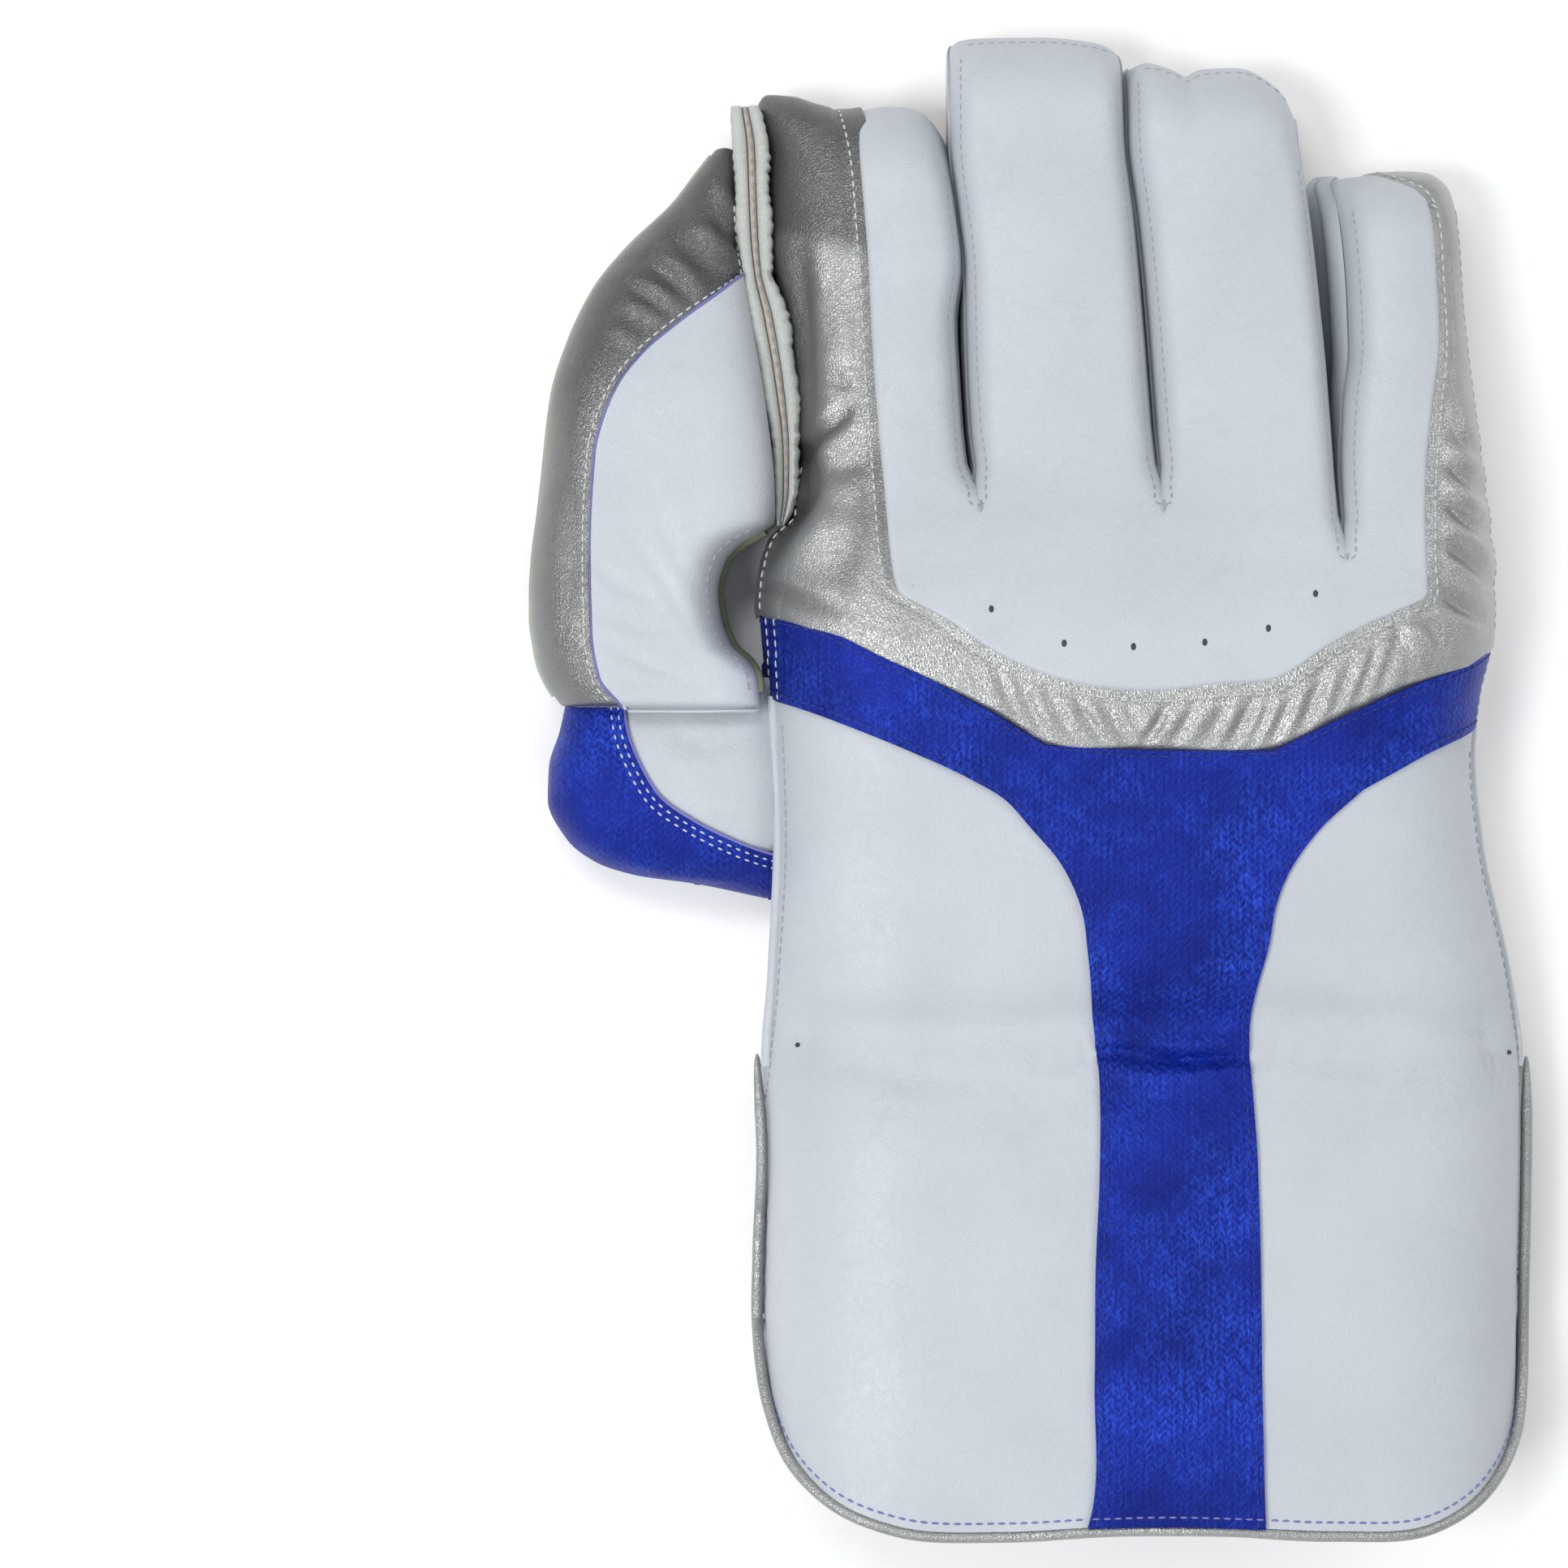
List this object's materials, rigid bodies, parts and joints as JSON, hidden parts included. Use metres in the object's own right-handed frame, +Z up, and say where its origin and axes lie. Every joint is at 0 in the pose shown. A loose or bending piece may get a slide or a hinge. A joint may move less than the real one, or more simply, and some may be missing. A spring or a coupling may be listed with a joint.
{
  "type": "wicketkeeping glove",
  "caption": "Right-hand cricket wicketkeeping glove: leather back with a slit finger panel, dimpled rubber palm, padded thumb stall with webbing and a wide open cuff.",
  "frame": {"origin": "middle of the glove's footprint, on the surface it lies on", "axes": "+Y from the cuff to the fingertips, +X from the thumb to the little finger, +Z up out of the back of the hand"},
  "size_m": [0.229, 0.339, 0.046],
  "materials": {
    "white_leather": "smooth, slightly glossy",
    "silver_leather": "silver foil, satin",
    "blue_leather": "short raised pattern, soft sheen",
    "dimpled_rubber": "matte, moulded rings",
    "white_suede": "suede"
  },
  "bodies": {
    "root": {"back_panel": "white_leather", "silver_yoke": "silver_leather", "blue_yoke": "blue_leather", "cuff_panel_thumb": "white_leather", "cuff_panel_outer": "white_leather", "cuff_piping_back": "silver_leather", "cuff_piping_palm": "silver_leather", "palm_facing": "dimpled_rubber", "wrist_panel": "white_suede", "cuff_palm_panel": "white_leather", "thumb_gusset": "blue_leather", "thumb_base_white": "white_leather", "thumb_back": "white_leather", "thumb_band": "silver_leather", "thumb_facing": "dimpled_rubber", "thumb_lip": "white_leather", "web_seam": "dimpled_rubber", "fourchette_index": "white_leather", "fourchette_middle": "white_leather", "fourchette_ring": "white_leather"}
  },
  "joints": []
}
